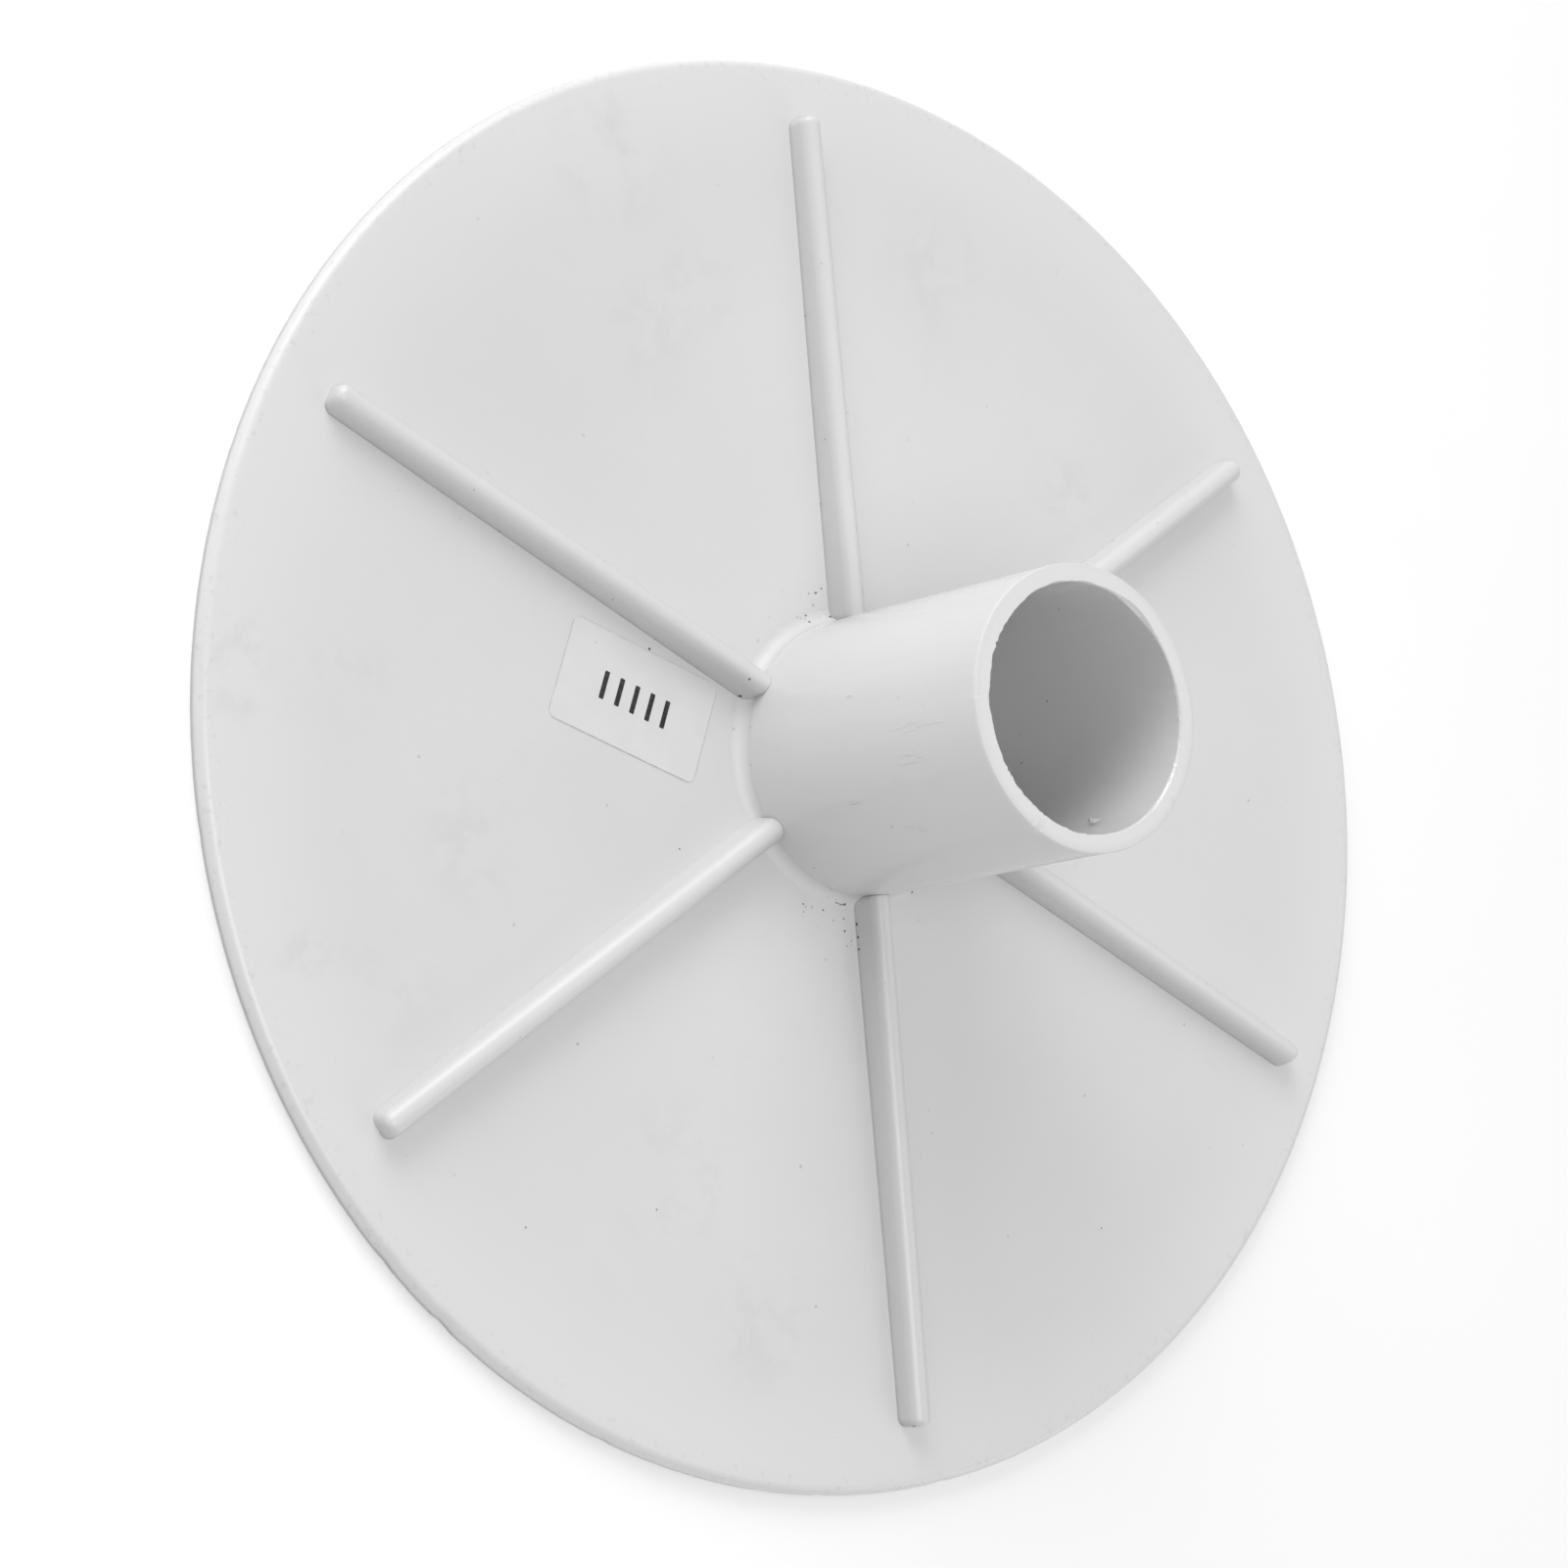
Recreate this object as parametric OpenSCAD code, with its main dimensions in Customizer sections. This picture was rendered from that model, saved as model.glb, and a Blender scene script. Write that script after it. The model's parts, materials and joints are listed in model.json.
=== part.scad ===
// Ribbed blind flange: a thin round plate, six radial ribs and a hollow centre spigot.
// Units are millimetres. The origin is the centre of the flat back face, +Z runs along
// the spigot and out of its open mouth, and +X runs along the first rib.

/* [Plate] */
// Outer diameter of the plate
plate_d = 214; // [180:1:260]
// Thickness of the plate
plate_thickness = 2.5; // [2:0.1:4]
// Rounding of the front edge of the plate
plate_edge_round = 1.5; // [0.5:0.1:1.8]

/* [Spigot] */
// Outer diameter of the spigot at its open mouth
spigot_mouth_d = 40; // [36:0.5:44]
// Diameter of the straight bore
bore_d = 34.7; // [30:0.1:35]
// Height of the mouth above the back face
spigot_top = 53.8; // [30:0.2:80]
// Draft of the outside of the spigot, in degrees
spigot_draft = 0.8; // [0:0.1:1.5]
// Radius of the fillet at the root of the spigot
fillet_r = 1.9; // [1:0.1:3]

/* [Ribs] */
// Width of a rib where it stands on the plate, next to the spigot
rib_foot_w = 5; // [4:0.1:6]
// Height of a rib above the plate, next to the spigot
rib_height = 4.5; // [3.5:0.1:5]
// Distance from the axis of the plate to the outer tip of a rib
rib_tip_r = 98; // [70:0.5:98]
// Draft of the side walls of a rib, in degrees
rib_draft = 12; // [8:1:16]
// Fall of the ridge of a rib towards the rim, in degrees
rib_slope = 0.67; // [0:0.01:0.7]

/* [Label] */
// Length of the label
label_l = 25.8; // [20:0.1:27]
// Width of the label
label_w = 15.6; // [12:0.1:16]
// Radius of the corners of the label
label_corner_r = 1.3; // [0.8:0.1:2]

/* [Hidden] */
// Curves are rebuilt as true circles, so this only sets the preview
$fn = 128;
// Distance by which a cutting shape reaches past the shape it cuts
cut = 1;

plate_r = plate_d / 2;
spigot_length = spigot_top - plate_thickness;
spigot_mouth_r = spigot_mouth_d / 2;
spigot_root_r = spigot_mouth_r + spigot_length * tan(spigot_draft);

// Thickness of the fillet ring at its two thin edges
fillet_lip = 0.12;
fillet_reach = fillet_r + fillet_lip;

rib_count = 6;
rib_angle = 360 / rib_count;
rib_foot = rib_foot_w / 2;
// Radius of the round ridge that both drafted side walls run into
rib_ridge_r = (rib_foot * cos(rib_draft) - rib_height * sin(rib_draft))
    / (1 - sin(rib_draft));
rib_ridge_z = rib_height - rib_ridge_r;
// Depth to which a rib is drawn below the plate before it is trimmed off level
rib_sink = 1.5;
// Radii of the upright round that ends a rib at the spigot and of the ball at its tip
rib_inner_end_r = 3.2;
rib_tip_ball_r = 4.7;
rib_inner_x = spigot_root_r - 0.3;
// Distance by which the walls of a rib run in under its round ridge
rib_shoulder_inset = 0.05;

label_x = 8.4;
label_y = 38.9;
label_turn = 67.5;
label_thickness = 0.1;
mark_bars = 5;
mark_bar_w = 0.8;
mark_bar_h = 4.2;
mark_pitch = 2.7;
mark_thickness = 0.04;

plastic_color = [0.86, 0.86, 0.85];
paper_color = [0.93, 0.93, 0.92];
ink_color = [0.12, 0.12, 0.12];

// ---- plate ----

// Half outline of the plate, from the axis to the rim
module plate_profile() {
    difference() {
        square([plate_r, plate_thickness]);
        translate([plate_r - plate_edge_round, plate_thickness - plate_edge_round])
            difference() {
                square(plate_edge_round + cut);
                circle(plate_edge_round);
            }
    }
}

module flange_plate() {
    color(plastic_color)
        rotate_extrude()
            plate_profile();
}

// ---- spigot ----

// The tapered outside of the spigot as one solid cone
module spigot_cone() {
    translate([0, 0, plate_thickness])
        cylinder(h = spigot_length, r1 = spigot_root_r, r2 = spigot_mouth_r);
}

module spigot_tube() {
    color(plastic_color)
        difference() {
            spigot_cone();
            cylinder(h = spigot_top + cut, d = bore_d);
        }
}

// Ring with a hollow, quarter-round outside, before the spigot is cut out of it
module fillet_ring() {
    translate([0, 0, plate_thickness])
        rotate_extrude()
            difference() {
                square([spigot_root_r + fillet_reach, fillet_reach]);
                translate([spigot_root_r + fillet_reach, fillet_reach])
                    circle(fillet_r);
            }
}

module root_fillet() {
    color(plastic_color)
        difference() {
            fillet_ring();
            spigot_cone();
        }
}

// ---- ribs ----

// Cross-section of a rib: drafted walls that run into a round ridge
module rib_section() {
    shoulder_x = rib_ridge_r * cos(rib_draft) - rib_shoulder_inset;
    shoulder_y = rib_ridge_z + rib_ridge_r * sin(rib_draft);
    sunk_foot = rib_foot + rib_sink * tan(rib_draft);
    polygon([
        [-sunk_foot, -rib_sink],
        [sunk_foot, -rib_sink],
        [shoulder_x, shoulder_y],
        [-shoulder_x, shoulder_y]
    ]);
    translate([0, rib_ridge_z])
        circle(rib_ridge_r);
}

// The rib as a long bar along +X whose ridge falls towards the rim
module rib_bar() {
    translate([rib_inner_x, 0, plate_thickness + rib_height])
        rotate([0, rib_slope, 0])
            translate([-cut, 0, -rib_height])
                rotate([90, 0, 90])
                    linear_extrude(rib_tip_r)
                        rib_section();
}

// The stretch of space above the plate that a rib may fill
module rib_space() {
    translate([rib_inner_x, -rib_foot_w, plate_thickness])
        cube([rib_tip_r - rib_inner_x, 2 * rib_foot_w, rib_height + cut]);
}

// What is cut away to round the upright end of a rib against the spigot
module rib_inner_end_cut() {
    difference() {
        translate([rib_inner_x - cut, -rib_foot_w, 0])
            cube([rib_inner_end_r + cut, 2 * rib_foot_w, spigot_top]);
        translate([rib_inner_x + rib_inner_end_r, 0, -cut])
            cylinder(h = spigot_top + 2 * cut, r = rib_inner_end_r);
    }
}

// What is cut away to round the outer tip of a rib like a ball
module rib_tip_cut() {
    ball_x = rib_tip_r - rib_tip_ball_r;
    difference() {
        translate([ball_x, -rib_tip_ball_r - cut, 0])
            cube([rib_tip_ball_r + cut, 2 * (rib_tip_ball_r + cut), spigot_top]);
        translate([ball_x, 0, plate_thickness])
            sphere(rib_tip_ball_r);
    }
}

module rib(number) {
    color(plastic_color)
        rotate([0, 0, rib_angle * (number - 1)])
            difference() {
                intersection() {
                    rib_bar();
                    rib_space();
                }
                rib_inner_end_cut();
                rib_tip_cut();
                fillet_ring();
                spigot_cone();
            }
}

// ---- label ----

// Places its children flat on the plate where the label is stuck
module at_label(height) {
    translate([label_x, label_y, plate_thickness + height])
        rotate([0, 0, label_turn])
            children();
}

module label_outline() {
    inner_l = label_l - 2 * label_corner_r;
    inner_w = label_w - 2 * label_corner_r;
    square([label_l, inner_w], center = true);
    square([inner_l, label_w], center = true);
    for (x = [-1, 1], y = [-1, 1])
        translate([x * inner_l / 2, y * inner_w / 2])
            circle(label_corner_r);
}

module number_label() {
    color(paper_color)
        at_label(0)
            linear_extrude(label_thickness)
                label_outline();
}

// A plain row of bars stands where the real label is printed
module label_mark() {
    color(ink_color)
        at_label(label_thickness)
            for (i = [0 : mark_bars - 1])
                translate([(i - (mark_bars - 1) / 2) * mark_pitch, 0, mark_thickness / 2])
                    cube([mark_bar_w, mark_bar_h, mark_thickness], center = true);
}

flange_plate();
spigot_tube();
root_fillet();
rib(1);  // rib_1
rib(2);  // rib_2
rib(3);  // rib_3
rib(4);  // rib_4
rib(5);  // rib_5
rib(6);  // rib_6
number_label();
label_mark();
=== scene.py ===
"""Ribbed blind flange: the detailed look, in the same frame as the CAD, in metres."""
import json
import math
import random

import bmesh
import bpy
from mathutils import Matrix, Vector


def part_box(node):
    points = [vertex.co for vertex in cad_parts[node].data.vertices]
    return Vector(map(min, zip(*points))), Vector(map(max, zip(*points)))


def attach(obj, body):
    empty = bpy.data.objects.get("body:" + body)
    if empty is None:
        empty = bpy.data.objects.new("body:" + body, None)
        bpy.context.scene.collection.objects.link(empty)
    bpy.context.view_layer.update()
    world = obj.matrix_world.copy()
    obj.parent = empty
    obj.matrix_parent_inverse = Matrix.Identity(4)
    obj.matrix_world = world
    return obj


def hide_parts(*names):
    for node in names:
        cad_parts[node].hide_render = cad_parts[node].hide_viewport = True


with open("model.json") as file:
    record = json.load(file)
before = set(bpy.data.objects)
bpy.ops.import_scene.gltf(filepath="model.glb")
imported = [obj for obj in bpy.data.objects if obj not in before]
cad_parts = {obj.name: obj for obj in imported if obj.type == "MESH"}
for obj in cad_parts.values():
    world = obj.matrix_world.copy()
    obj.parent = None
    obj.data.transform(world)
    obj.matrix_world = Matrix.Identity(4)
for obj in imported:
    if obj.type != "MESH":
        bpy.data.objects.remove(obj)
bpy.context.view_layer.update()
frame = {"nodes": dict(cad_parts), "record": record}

MM = 0.001
TAU = 2 * math.pi
BODY = "root"
SURFACE_IOR = 1.47

# ---- sizes read from the CAD ----

_, plate_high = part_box("flange_plate")
spigot_low, spigot_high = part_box("spigot_tube")
_, fillet_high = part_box("root_fillet")
rib_low, rib_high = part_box("rib_1")
label_low, label_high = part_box("number_label")
mark_low, mark_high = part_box("label_mark")
MOUNTS = {mount["name"]: mount for mount in frame["record"]["mounts"]}

PLATE_R = plate_high.x
PLATE_TOP = plate_high.z
SPIGOT_TOP = spigot_high.z
SPIGOT_ROOT_R = spigot_high.x
BORE_R = MOUNTS["spigot_bore"]["dims"]["r_mm"] * MM
FILLET_R = fillet_high.x
RIB_INNER_X = rib_low.x
RIB_TIP_X = rib_high.x
RIB_FOOT = rib_high.y
RIB_HEIGHT = rib_high.z - PLATE_TOP
LABEL_CENTRE = (label_low + label_high) / 2


def radius_at(node, z, tolerance=0.05 * MM):
    """Largest distance from the axis of a CAD node's points at one height."""
    points = [v.co for v in frame["nodes"][node].data.vertices]
    return max(math.hypot(p.x, p.y) for p in points if abs(p.z - z) < tolerance)


MOUTH_R = radius_at("spigot_tube", SPIGOT_TOP)


# ---- mesh helpers ----

def ring(radius, z, count):
    """A circle of points round the Z axis. radius and z may be functions of the angle."""
    points = []
    for i in range(count):
        angle = TAU * i / count
        r = radius(angle) if callable(radius) else radius
        h = z(angle) if callable(z) else z
        points.append((r * math.cos(angle), r * math.sin(angle), h))
    return points


def skin(bm, rings, closed=False):
    """Faces between successive rings of points. closed joins the last ring to the first."""
    rows = [[bm.verts.new(p) for p in points] for points in rings]
    pairs = list(zip(rows, rows[1:]))
    if closed:
        pairs.append((rows[-1], rows[0]))
    for below, above in pairs:
        for i in range(len(below)):
            j = (i + 1) % len(below)
            bm.faces.new((below[i], below[j], above[j], above[i]))
    return rows


def cap(bm, row):
    """Closes a ring with a fan round its middle point."""
    hub = bm.verts.new(sum((v.co for v in row), Vector()) / len(row))
    for i, vert in enumerate(row):
        bm.faces.new((vert, row[(i + 1) % len(row)], hub))


def piece(name, bm, material, nodes=(), sharp=40):
    """Turns a bmesh into a finished piece of the object that rides on its one body."""
    bmesh.ops.remove_doubles(bm, verts=bm.verts, dist=1e-7)
    bmesh.ops.recalc_face_normals(bm, faces=bm.faces)
    mesh = bpy.data.meshes.new(name)
    bm.to_mesh(mesh)
    bm.free()
    for polygon in mesh.polygons:
        polygon.use_smooth = True
    mesh.set_sharp_from_angle(angle=math.radians(sharp))
    mesh.materials.append(material)
    obj = bpy.data.objects.new(name, mesh)
    bpy.context.collection.objects.link(obj)
    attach(obj, BODY)
    if nodes:
        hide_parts(*nodes)
    return obj


def wave_sum(seed, lowest, highest, amplitude):
    """A seeded smooth function of the angle, made of sines that close after one turn."""
    rng = random.Random(seed)
    terms = [(k, rng.uniform(0, TAU), rng.uniform(0.4, 1)) for k in range(lowest, highest)]
    scale = amplitude / math.sqrt(sum(w * w for _, _, w in terms) / 2)
    return lambda angle: scale * sum(w * math.sin(k * angle + p) for k, p, w in terms)


def dip(angle, middle, width):
    """1 at one angle, falling away to both sides like a bell. All in radians."""
    off = (angle - middle + math.pi) % TAU - math.pi
    return math.exp(-(off / width) ** 2)


# ---- shader helpers ----

class Graph:
    """One material being built: a colour and a bump, both laid on in layers. Positions are
    in millimetres in the object's frame, turned back by so many degrees about Z if asked."""

    def __init__(self, name, turned=0):
        self.material = bpy.data.materials.new(name)
        self.material.use_nodes = True
        self.tree = self.material.node_tree
        self.tree.nodes.clear()
        self.shader = self.add("BsdfPrincipled")
        output = self.add("OutputMaterial")
        self.tree.links.new(self.shader.outputs[0], output.inputs[0])
        place = self.add("TexCoord")
        scaled = self.add("VectorMath", operation="SCALE")
        scaled.inputs["Scale"].default_value = 1 / MM
        self.tree.links.new(place.outputs["Object"], scaled.inputs[0])
        self.mm = scaled.outputs[0]
        if turned:
            rotate = self.add("VectorRotate", rotation_type="Z_AXIS")
            rotate.inputs["Angle"].default_value = -math.radians(turned)
            self.tree.links.new(self.mm, rotate.inputs["Vector"])
            self.mm = rotate.outputs[0]
        self.color = None
        self.normal = None

    def add(self, kind, **settings):
        node = self.tree.nodes.new("ShaderNode" + kind)
        for key, value in settings.items():
            setattr(node, key, value)
        return node

    def put(self, socket, value):
        """Links a socket to another socket, or sets its value."""
        if isinstance(value, bpy.types.NodeSocket):
            self.tree.links.new(value, socket)
        else:
            socket.default_value = value

    def math(self, operation, a, b=0.0):
        node = self.add("Math", operation=operation)
        self.put(node.inputs[0], a)
        self.put(node.inputs[1], b)
        return node.outputs[0]

    def times(self, *values):
        result = values[0]
        for value in values[1:]:
            result = self.math("MULTIPLY", result, value)
        return result

    def largest(self, *values):
        result = values[0]
        for value in values[1:]:
            result = self.math("MAXIMUM", result, value)
        return result

    def vector(self, operation, a, b):
        node = self.add("VectorMath", operation=operation)
        self.put(node.inputs[0], a)
        self.put(node.inputs[1], b)
        return node.outputs[0]

    def axes(self, vector):
        node = self.add("SeparateXYZ")
        self.put(node.inputs[0], vector)
        return node.outputs

    def noise(self, size, detail=3.0, stretch=(1.0, 1.0, 1.0), rough=0.5):
        """Noise whose features are about size millimetres across, less along axes whose
        stretch is above 1 and more along axes whose stretch is below 1."""
        node = self.add("TexNoise")
        self.put(node.inputs["Vector"], self.vector("MULTIPLY", self.mm, stretch))
        node.inputs["Scale"].default_value = 1 / size
        node.inputs["Detail"].default_value = detail
        node.inputs["Roughness"].default_value = rough
        return node.outputs["Fac"]

    def ramp(self, value, low, high, out_low=0.0, out_high=1.0):
        """Maps low..high to out_low..out_high smoothly and stops at both ends."""
        node = self.add("MapRange", interpolation_type="SMOOTHSTEP")
        for socket, number in zip(
            ("Value", "From Min", "From Max", "To Min", "To Max"),
            (value, low, high, out_low, out_high),
        ):
            self.put(node.inputs[socket], number)
        return node.outputs["Result"]

    def specks(self, spacing, radius, share):
        """Small scattered dots: 1 inside a dot. share is the part of the cells with one."""
        node = self.add("TexVoronoi")
        self.put(node.inputs["Vector"], self.mm)
        node.inputs["Scale"].default_value = 1 / spacing
        split = self.add("SeparateColor")
        self.tree.links.new(node.outputs["Color"], split.inputs[0])
        inside = self.ramp(node.outputs["Distance"], radius / spacing, radius * 0.5 / spacing)
        chosen = self.math("LESS_THAN", split.outputs[0], share)
        size = self.ramp(split.outputs[1], 0.0, 1.0, 0.35, 1.0)
        return self.times(inside, chosen, size)

    def near(self, centre, inner, outer, squash=(1.0, 1.0, 1.0)):
        """1 within inner millimetres of a point, fading to 0 at outer. An axis with a
        squash of 2 reaches only half as far."""
        away = self.vector("SUBTRACT", self.mm, centre)
        pulled = self.vector("MULTIPLY", away, squash)
        length = self.add("VectorMath", operation="LENGTH")
        self.put(length.inputs[0], pulled)
        return self.ramp(length.outputs["Value"], outer, inner)

    def mix(self, factor, a, b):
        node = self.add("Mix", data_type="RGBA")
        for socket, value in zip(node.inputs[0:1] + node.inputs[6:8], (factor, a, b)):
            self.put(socket, value)
        return node.outputs[2]

    def tint(self, mask, color):
        """Lays a colour over what is there where the mask is 1."""
        self.color = self.mix(mask, self.color, color)

    def press(self, height, depth):
        """Adds a bump of depth millimetres where height is 1. Below zero it is a dent."""
        node = self.add("Bump")
        node.inputs["Distance"].default_value = depth * MM
        self.put(node.inputs["Height"], height)
        if self.normal is not None:
            self.put(node.inputs["Normal"], self.normal)
        self.normal = node.outputs[0]

    def finish(self, roughness):
        self.put(self.shader.inputs["Base Color"], self.color)
        self.put(self.shader.inputs["Roughness"], roughness)
        self.shader.inputs["IOR"].default_value = SURFACE_IOR
        if self.normal is not None:
            self.put(self.shader.inputs["Normal"], self.normal)
        return self.material


def grey(value):
    """A neutral colour of so much reflected light."""
    return (value, value, value, 1.0)


def polar(radius, degrees, z):
    """A point in millimetres at a radius and an angle round the axis."""
    angle = math.radians(degrees)
    return (radius * math.cos(angle), radius * math.sin(angle), z)


# ---- materials ----

# How much light the bare plastic gives back, and the shiny to dull range of each surface
PLASTIC = 0.62
GLOSS_RANGE = (0.29, 0.36)
ROOT_GLOSS_RANGE = (0.46, 0.56)
SPIGOT_GLOSS_RANGE = (0.10, 0.16)
# The spigot is a little paler than the rest
SPIGOT_TONE = 1.075
# Painted light: the paler margin of the plate towards the rim
PAINTED_MARGIN_LIGHT = grey(PLASTIC * 1.05)
SMUDGE = grey(PLASTIC * 0.945)
SAWN = grey(PLASTIC * 1.04)
SCUFF_LIGHT = grey(PLASTIC * 1.12)
# Dark scuffs and scratches; also the painted shade on the ribs' shaded walls
DARK_SCUFF_AND_SHADE = grey(PLASTIC * 0.80)
# Painted shade along the rim's back edge
PAINTED_RIM_SHADE = grey(PLASTIC * 0.72)
# Painted shade line along the foot of a rib's shaded wall
PAINTED_FOOT_SHADE = grey(PLASTIC * 0.5)
DIRT = grey(0.05)
FLASH = grey(0.82)
PLATE_MM = PLATE_TOP / MM
PLATE_R_MM = PLATE_R / MM
SPIGOT_TOP_MM = SPIGOT_TOP / MM
# Distances from the axis, in millimetres, between which each mark fades in: the paler margin
# # of the plate, painted light brighter towards the rim, its chafed rim with painted shade along
# # its back edge, the pits round the root, and the painted shade where a rib meets the spigot
PAINTED_LIGHT_FROM_MM = 86
RIM_FADE_MM = (102, 106)
PIT_RING_FADE_MM = (29, 22)
CORNER_SHADE_FADE_MM = (42, 21)

# Where handling has left faint grey smudges on the plate: x, y, radius in millimetres
SMUDGES = (
    (12, 99, 9), (11, 85, 8), (-30, 80, 9), (-12, 68, 10), (-59, 38, 13), (-80, 25, 11),
    (87, 35, 12), (70, 23, 9), (62, 31, 11), (42, -48, 8), (77, -25, 12), (-24, 93, 7),
)
# Where moulding left clusters of black pits by the foot of the spigot: centre, reach, squash
PIT_CLUSTERS = (
    ((-22.6, 8.4, PLATE_MM), 5.6, (1.9, 1.0, 1.0)),
    ((-26.0, 3.6, PLATE_MM), 4.2, (1.0, 2.6, 1.0)),
    ((22.8, 5.6, PLATE_MM), 4.2, (1.0, 1.3, 1.0)),
)
# Black dimples on some ribs: along the rib, across it, height, radius in millimetres
RIB_SPECKS = {
    2: ((24.0, 1.2, 6.7, 0.26), (24.6, 1.3, 6.7, 0.20), (22.4, 2.4, 3.0, 0.34)),
    4: ((97.6, -1.0, 4.6, 0.38), (24.6, -2.4, 2.8, 0.24), (26.5, -2.3, 2.8, 0.24),
        (28.3, -2.3, 2.8, 0.22)),
}
# The long side of each rib painted with shade (1 or -1 across it), and how much painted shade
# darkens its whole wall
RIB_PAINTED_SHADE = {1: (1, 0.40), 2: (1, 0.0), 3: (1, 0.0), 4: (-1, 0.45), 5: (-1, 0.15), 6: (-1, 0.0)}
# Single black specks on the plate: x, y, radius in millimetres
PLATE_SPECKS = (
    (15.8, 35.6, 0.25), (-12.9, 33.1, 0.17), (-73.0, -41.0, 0.17),
    (25.0, 4.6, 0.22), (25.7, 3.5, 0.19), (-25.5, 4.5, 0.22), (-23.7, 4.5, 0.17),
    (-22.3, 8.2, 0.18), (-21.3, 11.8, 0.18),
)
# The same on the root ring
ROOT_SPECKS = (
    (21.5, 6.9, 0.20), (20.5, 6.6, 0.20), (21.4, 2.6, 0.24), (-21.8, 7.2, 0.20),
    (-21.3, 5.8, 0.15), (-21.4, 5.4, 0.15), (-21.6, 5.0, 0.17), (-21.6, 4.6, 0.17),
    (-21.6, 4.2, 0.24), (-21.1, 8.9, 0.17), (-20.1, -8.8, 0.22),
)
# Small specks on the wall of the bore: degrees, height, radius in millimetres
BORE_SPECKS = ((335.8, 42.2, 0.22), (287.1, 27.7, 0.24), (260.1, 20.4, 0.24))
# A small lump of pale flash by the foot of rib 1
ROUGH_PATCH = (21.7, 2.9, PLATE_MM + 0.5)


def plastic(name, turned=0, tone=1.0):
    """The bare off-white plastic: clouds of tone, a few specks, small dents, fine grain."""
    g = Graph(name, turned)
    bare = PLASTIC * tone
    clouds = g.ramp(g.noise(40, 4), 0.35, 0.70)
    g.color = g.mix(clouds, grey(bare * 0.985), grey(bare * 1.01))
    g.tint(g.times(g.ramp(g.noise(5, 4, rough=0.6), 0.50, 0.75), 0.5), grey(bare * 0.97))
    g.tint(g.times(g.specks(3.3, 0.34, 0.10), 0.28), DIRT)
    g.tint(g.times(g.specks(7.1, 0.26, 0.12), 0.75), DIRT)
    g.press(g.noise(16, 2), 0.06)
    g.press(g.noise(0.30, 4), 0.0035)
    g.press(g.specks(8.3, 0.60, 0.22), -0.035)
    return g


def uneven_gloss(g, gloss_range):
    """Roughness that wanders between two values from place to place."""
    return g.ramp(g.noise(12, 5), 0.3, 0.7, *gloss_range)


def add_pits(g):
    """Black pits in clusters by the spigot's foot, and the small lump of flash."""
    for centre, reach, squash in PIT_CLUSTERS:
        zone = g.near(centre, reach * 0.55, reach, squash)
        g.tint(g.times(g.specks(0.75, 0.18, 0.16), zone, 0.6), DIRT)
        g.tint(g.times(g.specks(1.3, 0.32, 0.35), zone, 0.25), DIRT)
        g.press(g.times(g.specks(0.75, 0.22, 0.34), zone), -0.05)
    patch = g.times(g.near(ROUGH_PATCH, 0.5, 1.1), g.ramp(g.noise(0.28, 3), 0.45, 0.6))
    g.tint(patch, FLASH)
    g.press(patch, 0.08)


def add_single_specks(g, rows):
    """Black specks that stand alone. Their height is left free, as the surface sets it."""
    for x, y, radius in rows:
        spot = g.near((x, y, PLATE_MM), radius * 0.6, radius, (1.0, 1.0, 0.0))
        g.tint(g.times(spot, 0.95), DIRT)


def plate_plastic():
    """The plate adds smudges, pits round the root, a paler margin of painted light, chafing on
    the rim and painted shade along the rim's back edge.
    """
    g = plastic("plate_plastic")
    x, y, z = g.axes(g.mm)
    radius = g.math("SQRT", g.math("ADD", g.times(x, x), g.times(y, y)))
    # Painted light: the plate is painted paler towards the rim, where it is more brightly lit
    g.tint(g.ramp(radius, PAINTED_LIGHT_FROM_MM, PLATE_R_MM), PAINTED_MARGIN_LIGHT)
    where = 0.0
    for x_mm, y_mm, reach in SMUDGES:
        where = g.largest(g.near((x_mm, y_mm, PLATE_MM), reach * 0.15, reach * 1.25), where)
    patchy = g.ramp(g.noise(5.5, 4, rough=0.58), 0.42, 0.66)
    g.tint(g.times(where, patchy), SMUDGE)
    strokes = g.ramp(g.noise(1.6, 3, (1.6, 0.4, 1.0)), 0.60, 0.70)
    g.tint(g.times(where, strokes, 0.06), DARK_SCUFF_AND_SHADE)
    root = g.ramp(radius, *PIT_RING_FADE_MM)
    g.tint(g.times(g.specks(1.9, 0.38, 0.22), root, 0.35), DIRT)
    rim = g.ramp(radius, *RIM_FADE_MM)
    g.tint(g.times(g.ramp(g.noise(1.1, 4), 0.58, 0.70), rim, 0.4), DARK_SCUFF_AND_SHADE)
    # Painted shade along the rim's back edge, darker towards the floor
    g.tint(g.times(g.ramp(z, 1.3, 0.3), rim), PAINTED_RIM_SHADE)
    add_pits(g)
    add_single_specks(g, PLATE_SPECKS)
    return g.finish(uneven_gloss(g, GLOSS_RANGE))


def root_plastic():
    """The fillet round the root is duller, lumpier and more pitted."""
    g = plastic("root_plastic")
    g.tint(g.times(g.specks(1.4, 0.30, 0.20), 0.35), DIRT)
    g.press(g.noise(2.5, 3), 0.05)
    add_pits(g)
    add_single_specks(g, ROOT_SPECKS)
    return g.finish(uneven_gloss(g, ROOT_GLOSS_RANGE))


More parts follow.
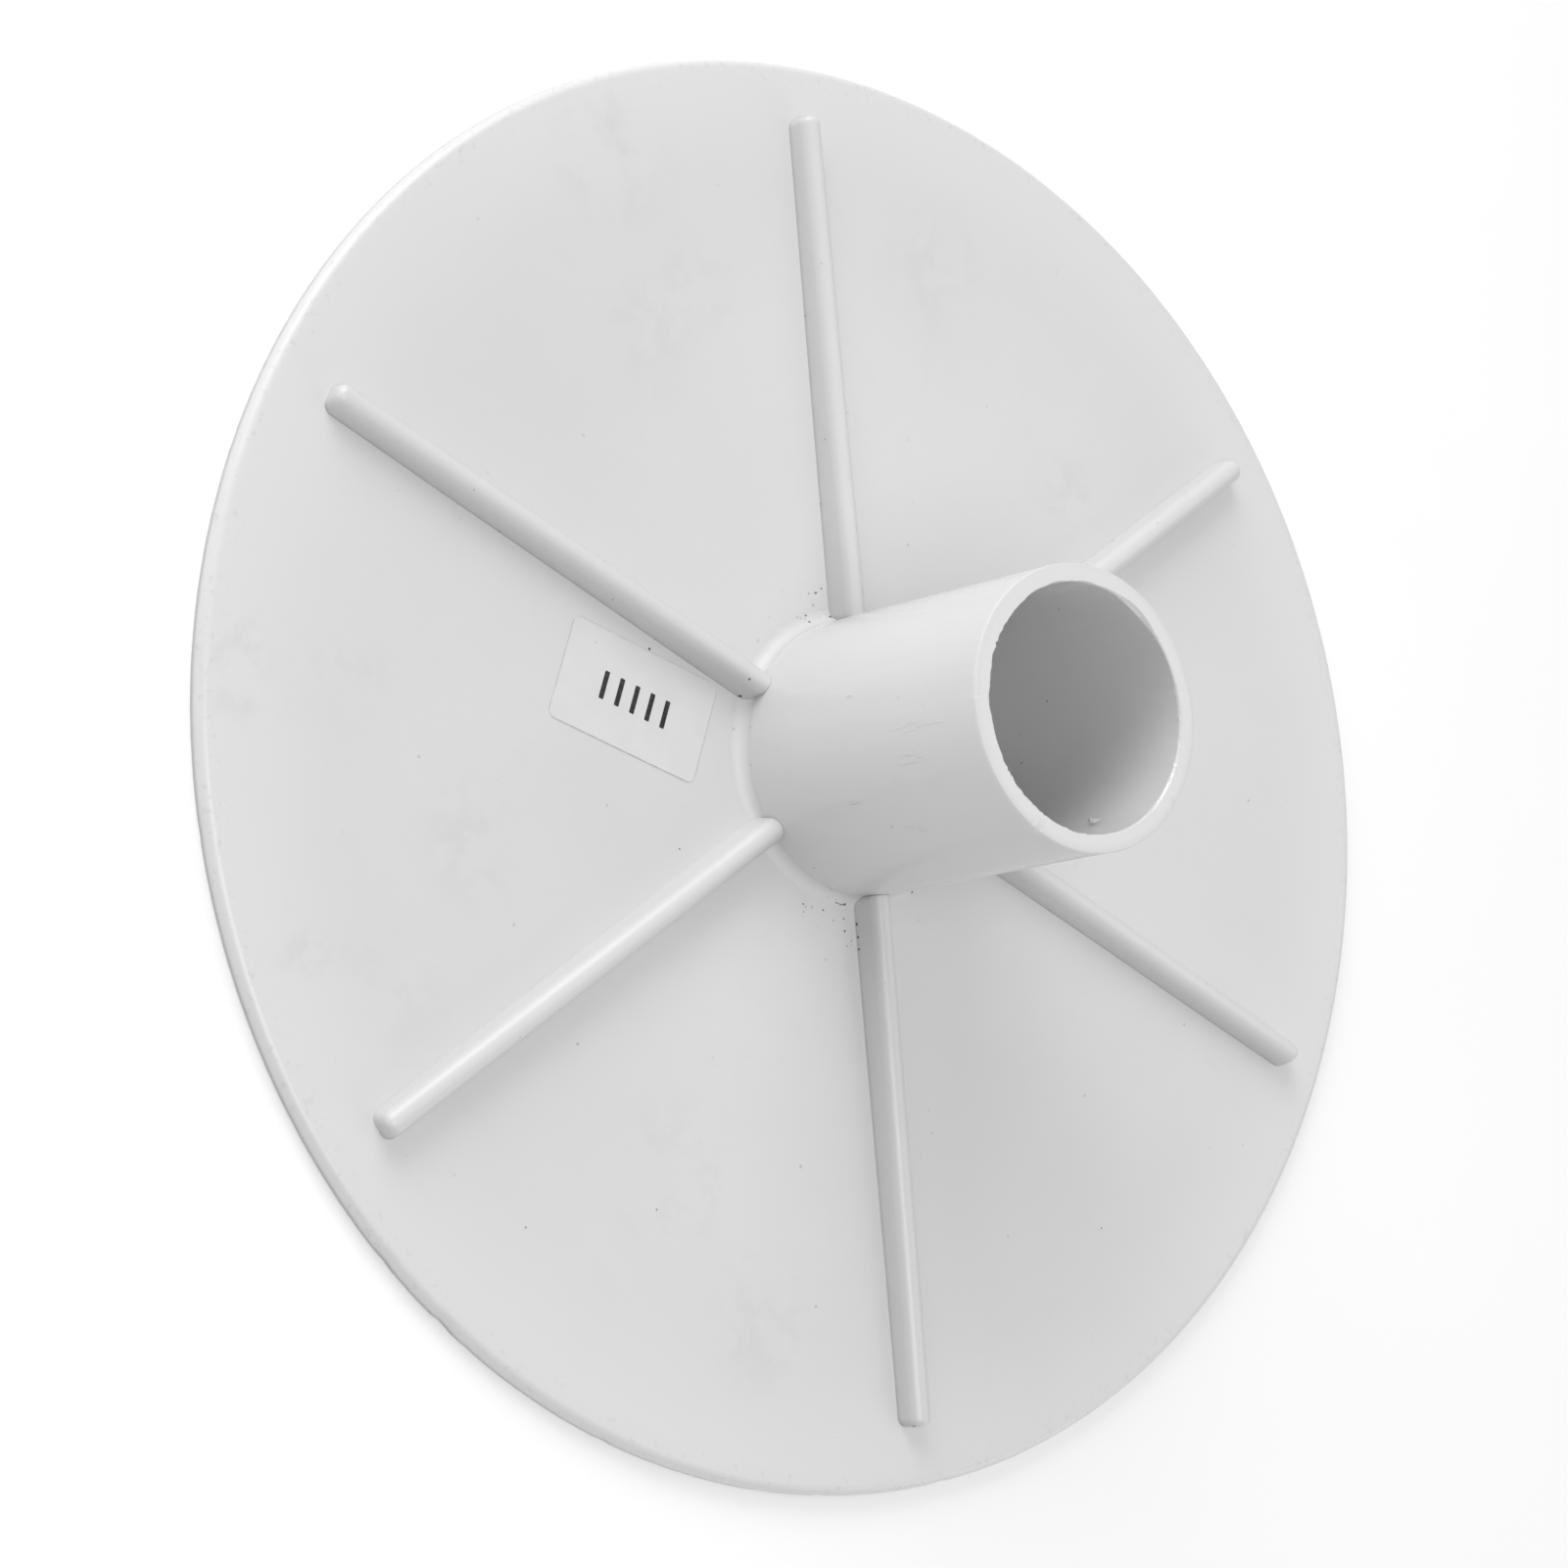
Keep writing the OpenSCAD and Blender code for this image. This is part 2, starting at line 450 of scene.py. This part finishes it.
def rib_plastic(number):
    """A rib's own material: draw lines along it, and painted shade on one wall, darkest
    along its foot and in the corner by the spigot."""
    g = plastic(f"rib_{number}_plastic", turned=RIB_PITCH * (number - 1))
    lines = g.noise(0.45, 3, (0.05, 1.0, 1.0))
    g.press(g.ramp(lines, 0.35, 0.70), 0.008)
    along, across, z = g.axes(g.mm)
    side, wall_shade = RIB_PAINTED_SHADE[number]
    shaded_wall = g.ramp(g.times(across, side), 0.0, 1.6)
    # Painted shade over the whole of the shaded wall
    g.tint(g.times(shaded_wall, wall_shade), DARK_SCUFF_AND_SHADE)
    patchy = g.ramp(g.noise(2.2, 3, (0.5, 1.0, 1.0)), 0.30, 0.70, 0.35, 0.65)
    # Painted shade, patchy and darker low on the shaded wall
    g.tint(g.times(g.ramp(z, PLATE_MM + 2.6, PLATE_MM), shaded_wall, patchy), DARK_SCUFF_AND_SHADE)
    # A painted shade line along the foot of the shaded wall
    line = g.times(g.ramp(z, PLATE_MM + 0.6, PLATE_MM + 0.1), shaded_wall)
    g.tint(g.times(line, 0.35), PAINTED_FOOT_SHADE)
    # Painted shade in the corner by the spigot
    corner = g.times(g.ramp(along, *CORNER_SHADE_FADE_MM), shaded_wall)
    g.tint(g.times(corner, 0.75), DARK_SCUFF_AND_SHADE)
    g.tint(g.times(g.specks(2.4, 0.20, 0.14), 0.6), DIRT)
    for x_mm, y_mm, z_mm, radius in RIB_SPECKS.get(number, ()):
        speck = g.near((x_mm, y_mm, z_mm), radius * 0.6, radius)
        g.tint(g.times(speck, 0.9), DIRT)
        g.press(speck, -0.15)
    return g.finish(uneven_gloss(g, GLOSS_RANGE))


# Scratches on the spigot: degrees round it, height, half length, half width, paleness 0 to 1
SPIGOT_SCRATCHES = (
    (92.3, 41.5, 7.0, 0.9, 1.0), (101.5, 39.5, 3.6, 0.7, 1.0), (104.5, 39.0, 4.0, 0.8, 0.4),
    (115.9, 24.5, 2.4, 0.16, 0.0), (117.4, 24.3, 2.0, 0.14, 0.0), (75.0, 26.8, 0.9, 0.3, 0.0),
    (133.0, 33.0, 4.0, 0.8, 0.5),
)


def spigot_plastic():
    """The spigot is shinier. It adds bundles of short scratches along its length, faint
    draw lines, a sawn mouth and a few specks in the bore."""
    g = plastic("spigot_plastic", tone=SPIGOT_TONE)
    fine = g.noise(0.42, 2, (1.0, 1.0, 0.10))
    for degrees, height, half_length, half_width, light in SPIGOT_SCRATCHES:
        across = half_length / half_width
        centre = polar(SPIGOT_ROOT_R / MM - 0.4, degrees, height)
        zone = g.near(centre, half_length * 0.6, half_length, (across, 1.0, 1.0))
        lines = g.times(zone, g.ramp(fine, 0.52, 0.62))
        color = g.mix(light, DARK_SCUFF_AND_SHADE, SCUFF_LIGHT)
        g.tint(g.times(lines, 0.5), color)
        g.press(lines, 0.05 if light else -0.05)
    g.press(g.ramp(g.noise(3.0, 2, (1.0, 1.0, 0.08)), 0.35, 0.70), 0.02)
    _, _, z = g.axes(g.mm)
    sawn = g.ramp(z, SPIGOT_TOP_MM - 0.35, SPIGOT_TOP_MM - 0.15)
    g.tint(sawn, SAWN)
    saw_lines = g.noise(0.35, 3, (1.0, 0.06, 1.0))
    g.tint(g.times(sawn, g.ramp(saw_lines, 0.55, 0.75), 0.25), grey(PLASTIC))
    g.press(g.times(sawn, saw_lines), 0.012)
    for degrees, height, radius in BORE_SPECKS:
        speck = g.near(polar(BORE_R / MM, degrees, height), radius * 0.6, radius)
        g.tint(g.times(speck, 0.5), DIRT)
    add_pits(g)
    return g.finish(uneven_gloss(g, SPIGOT_GLOSS_RANGE))


PAPER = (grey(0.655), grey(0.635))
PAPER_FLECK = grey(0.60)
PAPER_EDGE_LINE = grey(0.42)
INK = (grey(0.012), grey(0.05))
FLOOR = (grey(0.90), grey(0.92))
FLOOR_ROUGHNESS = 0.7


def paper():
    """The label: faintly mottled paper with a thin darker line round its edge."""
    g = Graph("label_paper")
    local = g.vector("SUBTRACT", g.mm, tuple(LABEL_CENTRE / MM))
    rotate = g.add("VectorRotate", rotation_type="Z_AXIS")
    rotate.inputs["Angle"].default_value = -LABEL_TURN
    g.put(rotate.inputs["Vector"], local)
    along, across, _ = g.axes(rotate.outputs[0])
    end = g.math("SUBTRACT", LABEL_L / MM / 2, g.math("ABSOLUTE", along))
    side = g.math("SUBTRACT", LABEL_W / MM / 2, g.math("ABSOLUTE", across))
    border = g.ramp(g.math("MINIMUM", end, side), 0.20, 0.02)
    g.color = g.mix(g.ramp(g.noise(5, 4), 0.35, 0.65), *PAPER)
    g.tint(g.times(g.ramp(g.noise(0.22, 4), 0.45, 0.70), 0.35), PAPER_FLECK)
    g.tint(g.times(g.specks(4.1, 0.22, 0.12), 0.35), DIRT)
    g.tint(g.times(border, g.ramp(g.noise(1.5, 3), 0.30, 0.60, 0.35, 0.9)), PAPER_EDGE_LINE)
    g.press(g.noise(0.2, 4), 0.003)
    g.press(g.noise(6, 2), 0.04)
    return g.finish(g.ramp(g.noise(0.6, 3), 0.3, 0.7, 0.40, 0.52))


def ink():
    """Printed ink, a little uneven so that the paper shows through at places."""
    g = Graph("mark_ink")
    g.color = g.mix(g.ramp(g.noise(0.35, 4), 0.40, 0.75), *INK)
    g.press(g.noise(0.2, 3), 0.003)
    return g.finish(g.ramp(g.noise(0.5, 3), 0.3, 0.7, 0.45, 0.60))


def floor_material():
    """A plain pale matt floor."""
    g = Graph("studio_floor")
    g.color = g.mix(g.noise(60, 3), *FLOOR)
    return g.finish(FLOOR_ROUGHNESS)


# ---- plate ----

PLATE_SEGMENTS = 480
EDGE_ROUND = 1.5 * MM
EDGE_STEPS = 10
BACK_BREAK = 0.2 * MM
RIM_WAVER = 0.012 * MM
FACE_RINGS = (0.30, 0.62, 0.85)
# Nicks in the rim: degrees, depth in millimetres, half width in degrees
RIM_NICKS = (
    (128.0, 0.20, 0.5), (134.5, 0.28, 0.7), (137.0, 0.15, 0.3), (151.0, 0.18, 0.4),
    (158.5, 0.12, 0.3), (171.0, 0.16, 0.5), (183.0, 0.22, 0.6), (214.0, 0.12, 0.4),
    (95.0, 0.10, 0.4), (283.0, 0.14, 0.5), (330.0, 0.10, 0.4),
)


def build_plate():
    """Disc with a softly rounded front edge, a little nicked, and a broken back edge."""
    waver = wave_sum(11, 60, 160, RIM_WAVER)

    def worn(angle):
        """How far the rim is worn back at an angle."""
        depth = max(0.0, waver(angle))
        for degrees, deep, wide in RIM_NICKS:
            depth = max(depth, deep * MM * dip(angle, math.radians(degrees), math.radians(wide)))
        return depth

    def rim(inset, share):
        """The rim's radius by angle, set in, with a share of the wear."""
        return lambda angle: PLATE_R - inset - share * worn(angle)

    rings = [ring(PLATE_R * share, PLATE_TOP, PLATE_SEGMENTS) for share in FACE_RINGS]
    rings.append(ring(PLATE_R - 2.5 * EDGE_ROUND, PLATE_TOP, PLATE_SEGMENTS))
    for step in range(EDGE_STEPS + 1):
        turn = math.pi / 2 * step / EDGE_STEPS
        inset = EDGE_ROUND * (1 - math.sin(turn))
        drop = EDGE_ROUND * (1 - math.cos(turn))
        rings.append(ring(rim(inset, math.sin(turn)), PLATE_TOP - drop, PLATE_SEGMENTS))
    rings.append(ring(rim(0, 1.0), BACK_BREAK, PLATE_SEGMENTS))
    rings.append(ring(rim(BACK_BREAK, 0.5), 0, PLATE_SEGMENTS))
    rings.extend(ring(PLATE_R * share, 0, PLATE_SEGMENTS) for share in reversed(FACE_RINGS))
    bm = bmesh.new()
    rows = skin(bm, rings)
    cap(bm, rows[0])
    cap(bm, rows[-1])
    return piece("plate", bm, plate_plastic(), ("flange_plate",))


# ---- spigot ----

SPIGOT_SEGMENTS = 960
MOUTH_BREAK = 0.22 * MM
BORE_STEPS = 6
LIP = 0.13 * MM
WIDE_LIP = 0.14 * MM
SLIVER = 0.45 * MM
# Where the mouth's inner slope is widest and where a sliver is missing, in degrees
WIDE_LIP_AT, WIDE_LIP_SPREAD = 235, 50
SLIVER_AT, SLIVER_SPREAD = 322, 11
# Chips in the mouth's outer edge: degrees, depth in millimetres, half width in degrees
MOUTH_CHIPS = ((147.0, 0.32, 1.6), (143.0, 0.18, 0.8), (86.0, 0.10, 0.6), (228.0, 0.2, 0.8))
# Depths below the mouth of the rings outside and inside it, so that its tears stay short
CHIP_END = 0.8 * MM
TEAR_MIDDLE = 0.25 * MM
TEAR_END = 0.7 * MM
PLAIN_BORE = 1.8 * MM
SAW_WANDER = 0.04 * MM
SAW_CHATTER = 0.006 * MM
WALL_SHARES = (0.0, 0.02, 0.25, 0.5, 0.75, 0.96)

# The bites torn out of the mouth's inner edge
BITE_GAPS = (0.05, 0.09, 0.14, 0.22)
BITE_DEPTH = (0.02 * MM, 0.20 * MM)
BITE_FINE = 0.010 * MM
BITE_LEAST = 0.015 * MM
COARSE_AT, COARSE_SPREAD = 80, 65

BURR_DEGREES = 212
BURR_Z = 43.3 * MM
BURR_LENGTH = 2.6 * MM
BURR_THICK = 0.03 * MM
BURR_TURNS = 1.2
BURR_SWING = 0.35 * MM
BURR_STEPS = 14


def ragged_edge(seed):
    """How far the sawn inner edge is torn back from the bore, by angle: small bites with
    cusps between them, coarsest on the +Y side, with a fine roughness on top."""
    rng = random.Random(seed)
    stops = [0.0]
    while stops[-1] < TAU - 0.10:
        stops.append(stops[-1] + rng.choice(BITE_GAPS) * rng.uniform(0.7, 1.3))
    stops[-1] = TAU
    bites = [rng.uniform(*BITE_DEPTH) for _ in stops]
    rough = wave_sum(seed + 1, 60, 170, BITE_FINE)

    def depth(angle):
        angle %= TAU
        i = max(k for k, stop in enumerate(stops) if stop <= angle + 1e-9)
        i = min(i, len(stops) - 2)
        t = (angle - stops[i]) / (stops[i + 1] - stops[i])
        coarse = 0.4 + 1.2 * dip(angle, math.radians(COARSE_AT), math.radians(COARSE_SPREAD))
        return max(0.0, coarse * bites[i] * 4 * t * (1 - t) + rough(angle) + BITE_LEAST)

    return depth


def add_burr(bm):
    """A curl of swarf left clinging to the wall of the bore, not far below the mouth."""
    out = Vector(polar(1, BURR_DEGREES, 0))
    side = Vector((-out.y, out.x, 0))
    rows = []
    for i in range(BURR_STEPS + 1):
        t = i / BURR_STEPS
        curl = math.sin(t * TAU * BURR_TURNS)
        width = (0.06 + 0.24 * math.sin(math.pi * t)) * MM
        lift = (0.25 + 0.55 * math.sin(math.pi * t) + 0.15 * curl) * MM
        centre = out * (BORE_R - lift) + side * curl * BURR_SWING
        centre.z = BURR_Z + (t - 0.5) * BURR_LENGTH
        lean = (side + out * 0.6 * curl).normalized() * width
        thick = Vector((0, 0, BURR_THICK)) + out * BURR_THICK
        rows.append([
            centre - lean - thick, centre + lean - thick,
            centre + lean + thick, centre - lean + thick,
        ])
    made = skin(bm, rows)
    cap(bm, made[0])
    cap(bm, made[-1])


def build_spigot():
    """Tapered tube standing on the plate, its mouth sawn off and left rough inside."""
    bite = ragged_edge(21)
    saw = wave_sum(31, 1, 5, SAW_WANDER)
    chatter = wave_sum(33, 30, 90, SAW_CHATTER)
    length = SPIGOT_TOP - spigot_low.z

    def outer(z):
        """Outside radius at a height."""
        share = (z - spigot_low.z) / length
        return SPIGOT_ROOT_R + (MOUTH_R - SPIGOT_ROOT_R) * share

    def mouth(angle):
        """Height of the sawn end, which wanders a little below the top."""
        return SPIGOT_TOP - abs(saw(angle)) - max(0.0, chatter(angle))

    def lip(angle):
        """Width of the small slope inside the mouth, widest on the -X and -Y sides."""
        wide = dip(angle, math.radians(WIDE_LIP_AT), math.radians(WIDE_LIP_SPREAD))
        sliver = dip(angle, math.radians(SLIVER_AT), math.radians(SLIVER_SPREAD))
        return LIP + WIDE_LIP * wide + SLIVER * sliver

    def chip(angle):
        """How deep the mouth's outer edge is chipped at an angle."""
        return max(
            deep * MM * dip(angle, math.radians(degrees), math.radians(wide))
            for degrees, deep, wide in MOUTH_CHIPS
        )

    def edge(inset, drop):
        """A ring on the mouth's outer edge, set in and down, and chipped."""
        return ring(
            lambda angle: outer(SPIGOT_TOP) - inset - 0.6 * chip(angle),
            lambda angle: mouth(angle) - drop - 0.6 * chip(angle),
            SPIGOT_SEGMENTS,
        )

    def inner(torn, slope, drop):
        """A ring on the mouth's inner edge: shares of the tear and the slope, and a drop."""
        return ring(
            lambda angle: BORE_R + torn * bite(angle) + slope * lip(angle),
            lambda angle: mouth(angle) - (1 - slope) * lip(angle) - drop,
            SPIGOT_SEGMENTS,
        )

    rings = []
    heights = [spigot_low.z + share * length for share in WALL_SHARES]
    for z in heights + [SPIGOT_TOP - CHIP_END]:
        rings.append(ring(outer(z), z, SPIGOT_SEGMENTS))
    rings.append(edge(0, MOUTH_BREAK))
    rings.append(edge(0.3 * MOUTH_BREAK, 0.3 * MOUTH_BREAK))
    rings.append(edge(MOUTH_BREAK, 0))
    rings.append(ring((MOUTH_R + BORE_R) / 2, mouth, SPIGOT_SEGMENTS))
    rings.append(inner(1.0, 1.0, 0))
    rings.append(inner(1.0, 0.0, 0))
    rings.append(inner(0.4, 0.0, TEAR_MIDDLE))
    rings.append(inner(0.0, 0.0, TEAR_END))
    for step in range(1, BORE_STEPS + 1):
        z = SPIGOT_TOP - PLAIN_BORE - (length - PLAIN_BORE) * step / BORE_STEPS
        rings.append(ring(BORE_R, z, SPIGOT_SEGMENTS))
    bm = bmesh.new()
    skin(bm, rings, closed=True)
    add_burr(bm)
    return piece("spigot", bm, spigot_plastic(), ("spigot_tube",), sharp=38)


FILLET_STEPS = 10
FILLET_WAVER = 0.05 * MM
FILLET_BURIED = 0.1 * MM
FILLET_LIFT = 0.02 * MM


def build_fillet():
    """Hollow quarter-round between the plate and the foot of the spigot."""
    reach = FILLET_R - SPIGOT_ROOT_R
    waver = wave_sum(41, 3, 14, FILLET_WAVER)
    rings = [ring(SPIGOT_ROOT_R - FILLET_BURIED, PLATE_TOP + reach, PLATE_SEGMENTS)]
    for step in range(FILLET_STEPS + 1):
        turn = math.pi / 2 * step / FILLET_STEPS
        out = SPIGOT_ROOT_R + reach * (1 - math.cos(turn))
        rings.append(ring(
            lambda angle, out=out, share=math.sin(turn): out - share * abs(waver(angle)),
            PLATE_TOP + reach * (1 - math.sin(turn)) + FILLET_LIFT,
            PLATE_SEGMENTS,
        ))
    for radius in (FILLET_R, SPIGOT_ROOT_R):
        rings.append(ring(radius - FILLET_BURIED, PLATE_TOP - FILLET_BURIED, PLATE_SEGMENTS))
    bm = bmesh.new()
    skin(bm, rings, closed=True)
    return piece("root_ring", bm, root_plastic(), ("root_fillet",), sharp=50)


# ---- ribs ----

RIB_DRAFT = math.radians(12)
RIB_SLOPE = math.radians(0.67)
RIB_STEPS = 30
END_STEPS = 9
WALL_STEPS = 4
ARC_STEPS = 18
TIP_PLAN_ROUND = 1.5 * MM
TIP_TOP_ROUND = 1.1 * MM
NOSE_ROUND = 0.22 * MM
NOSE_PLAN_ROUND = 1.0 * MM
NOSE_RIDGE_SHARE = 0.45
RIB_SINK = 0.04 * MM
RIB_SWAY = 0.03 * MM
LEAST_RIDGE = 0.15 * MM
RIB_COUNT = 6
RIB_PITCH = 60


def drawn_in(distance, radius):
    """How far a rounded end has drawn in at a distance from its very end."""
    if distance >= radius:
        return 0.0
    return radius - math.sqrt(max(0.0, radius * radius - (radius - distance) ** 2))


def rib_section(foot, ridge, height):
    """Points (y, z) over a rib: straight walls from the foot up to a round ridge."""
    middle = height - ridge
    shoulder_y = ridge * math.cos(RIB_DRAFT)
    shoulder_z = middle + ridge * math.sin(RIB_DRAFT)
    wall = [
        (foot + (shoulder_y - foot) * step / WALL_STEPS, shoulder_z * step / WALL_STEPS)
        for step in range(WALL_STEPS)
    ]
    arc = []
    for step in range(ARC_STEPS + 1):
        turn = RIB_DRAFT + (math.pi - 2 * RIB_DRAFT) * step / ARC_STEPS
        arc.append((ridge * math.cos(turn), middle + ridge * math.sin(turn)))
    return wall + arc + [(-y, z) for y, z in reversed(wall)]


def rib_stations(length):
    """Distances along a rib, close together where its two ends are rounded."""
    quarter = [1 - math.cos(math.pi / 2 * i / END_STEPS) for i in range(END_STEPS + 1)]
    nose = [NOSE_PLAN_ROUND * share for share in quarter]
    tip = [length - TIP_PLAN_ROUND * share for share in reversed(quarter)]
    span = tip[0] - nose[-1]
    middle = [nose[-1] + span * i / RIB_STEPS for i in range(1, RIB_STEPS)]
    return nose + middle + tip


def build_rib(number):
    """One rib: a drafted bar with a round ridge that falls towards its rounded tip."""
    length = RIB_TIP_X - RIB_INNER_X
    rng = random.Random(50 + number)
    sway = [rng.uniform(-1, 1) * RIB_SWAY for _ in range(3)]
    turn = Matrix.Rotation(math.radians(RIB_PITCH * (number - 1)), 3, "Z")
    rings = []
    for s in rib_stations(length):
        height = RIB_HEIGHT - s * math.tan(RIB_SLOPE)
        foot = RIB_FOOT - s * math.tan(RIB_SLOPE) * math.tan(RIB_DRAFT)
        ridge = (foot * math.cos(RIB_DRAFT) - height * math.sin(RIB_DRAFT)) / (
            1 - math.sin(RIB_DRAFT)
        )
        nose = drawn_in(s, NOSE_PLAN_ROUND)
        tip = drawn_in(length - s, TIP_PLAN_ROUND)
        section = rib_section(
            foot - tip - nose,
            max(LEAST_RIDGE, ridge - tip - NOSE_RIDGE_SHARE * nose),
            height - drawn_in(length - s, TIP_TOP_ROUND) - drawn_in(s, NOSE_ROUND),
        )
        side = sum(a * math.sin((k + 1) * math.pi * s / length) for k, a in enumerate(sway))
        first, last = section[0][0], section[-1][0]
        outline = section + [(last, -RIB_SINK), (first, -RIB_SINK)]
        rings.append([
            turn @ Vector((RIB_INNER_X + s, y + side, PLATE_TOP + z)) for y, z in outline
        ])
    bm = bmesh.new()
    rows = skin(bm, rings)
    cap(bm, rows[0])
    cap(bm, rows[-1])
    node = f"rib_{number}"
    return piece(f"stiffening_{node}", bm, rib_plastic(number), (node,), sharp=42)


# ---- label ----

LABEL_L = 25.8 * MM
LABEL_W = 15.6 * MM
LABEL_CORNER = 1.3 * MM
LABEL_TURN = math.radians(67.5)
LABEL_BURIED = 0.01 * MM
CORNER_STEPS = 8
SHEET_SOFTENED = 0.4
MARK_BARS = 5
MARK_PITCH = 2.7 * MM
MARK_W = 0.8 * MM
MARK_H = 4.2 * MM
MARK_CORNER = 0.15 * MM


def on_label(x, y, z):
    """A point given on the label's own axes, in the object's frame."""
    c, s = math.cos(LABEL_TURN), math.sin(LABEL_TURN)
    return (LABEL_CENTRE.x + c * x - s * y, LABEL_CENTRE.y + s * x + c * y, z)


def rounded_outline(length, width, corner, steps):
    """Points round a rectangle with round corners."""
    points = []
    for quarter, (sx, sy) in enumerate(((1, 1), (-1, 1), (-1, -1), (1, -1))):
        for step in range(steps + 1):
            turn = math.pi / 2 * (quarter + step / steps)
            x = sx * (length / 2 - corner) + corner * math.cos(turn)
            y = sy * (width / 2 - corner) + corner * math.sin(turn)
            points.append((x, y))
    return points


def sheet(bm, x, length, width, corner, low, high):
    """A thin flat sheet on the label's axes, with the top edge a little broken."""
    soften = (high - low) * SHEET_SOFTENED
    rings = []
    for inset, z in ((0, low), (0, high - soften), (soften, high)):
        outline = rounded_outline(
            length - 2 * inset, width - 2 * inset, corner - inset, CORNER_STEPS
        )
        rings.append([on_label(x + px, py, z) for px, py in outline])
    rows = skin(bm, rings)
    cap(bm, rows[0])
    cap(bm, rows[-1])


def build_label():
    """The stuck-on paper label."""
    bm = bmesh.new()
    sheet(bm, 0, LABEL_L, LABEL_W, LABEL_CORNER, label_low.z - LABEL_BURIED, label_high.z)
    return piece("stuck_label", bm, paper(), ("number_label",), sharp=30)


def build_mark():
    """A plain row of printed bars."""
    bm = bmesh.new()
    for i in range(MARK_BARS):
        middle = (i - (MARK_BARS - 1) / 2) * MARK_PITCH
        sheet(bm, middle, MARK_W, MARK_H, MARK_CORNER, mark_low.z, mark_high.z)
    return piece("printed_bars", bm, ink(), ("label_mark",), sharp=30)


build_plate()
build_spigot()
build_fillet()
for rib_number in range(1, RIB_COUNT + 1):
    build_rib(rib_number)
build_label()
build_mark()


# ---- floor, light and camera ----

CAMERA_AT = Vector((-0.05033, 0.28756, 0.35875))
CAMERA_AIM = Vector((-0.00333, 0.01158, 0.0))
IMAGE_UP = Vector((0.99128, -0.00242, 0.13172))
LENS_MM = 71.03
SENSOR_MM = 36.0

# Round soft lamps: name, degrees round the axis, degrees above the floor, watts
LAMPS = (
    ("key_high", 10, 35, 1.9),
    ("key_middle", 10, 22, 4.2),
    ("key_low", 30, 22, 3.9),
    ("overhead", 112, 68, 6.2),
    ("side_fill", 270, 45, 1.1),
    ("low_fill", 225, 20, 2.4),
)
LAMP_DISTANCE = 1.2
LAMP_SIZE = 0.75
SKY_STRENGTH = 0.40
FLOOR_HALF = 4.0
FLOOR_CELLS = 8


def build_floor():
    """The floor that the flange rests on."""
    bm = bmesh.new()
    bmesh.ops.create_grid(bm, x_segments=FLOOR_CELLS, y_segments=FLOOR_CELLS, size=FLOOR_HALF)
    mesh = bpy.data.meshes.new("studio_floor")
    bm.to_mesh(mesh)
    bm.free()
    mesh.materials.append(floor_material())
    floor = bpy.data.objects.new("studio_floor", mesh)
    bpy.context.collection.objects.link(floor)


def build_lamp(name, degrees, height, watts):
    """One round soft lamp that looks at the middle of the flange."""
    azimuth, rise = math.radians(degrees), math.radians(height)
    direction = Vector((
        math.cos(rise) * math.cos(azimuth), math.cos(rise) * math.sin(azimuth), math.sin(rise),
    ))
    data = bpy.data.lights.new(name, "AREA")
    data.shape = "DISK"
    data.size = LAMP_SIZE
    data.energy = watts
    lamp = bpy.data.objects.new(name, data)
    lamp.location = direction * LAMP_DISTANCE
    lamp.rotation_euler = direction.to_track_quat("Z", "Y").to_euler()
    bpy.context.collection.objects.link(lamp)


def build_sky():
    """An even pale surround."""
    world = bpy.data.worlds.new("studio")
    world.use_nodes = True
    background = world.node_tree.nodes["Background"]
    background.inputs["Color"].default_value = grey(1.0)
    background.inputs["Strength"].default_value = SKY_STRENGTH
    bpy.context.scene.world = world


def build_camera():
    """The camera, aimed at a point and rolled so that its up is near a given direction."""
    forward = (CAMERA_AIM - CAMERA_AT).normalized()
    right = forward.cross(IMAGE_UP).normalized()
    up = right.cross(forward)
    data = bpy.data.cameras.new("camera")
    data.lens = LENS_MM
    data.sensor_width = SENSOR_MM
    camera = bpy.data.objects.new("camera", data)
    turn = Matrix((right, up, -forward)).transposed().to_4x4()
    camera.matrix_world = Matrix.Translation(CAMERA_AT) @ turn
    bpy.context.collection.objects.link(camera)
    bpy.context.scene.camera = camera


build_floor()
for lamp_row in LAMPS:
    build_lamp(*lamp_row)
build_sky()
build_camera()
bpy.context.scene.view_settings.view_transform = "Standard"
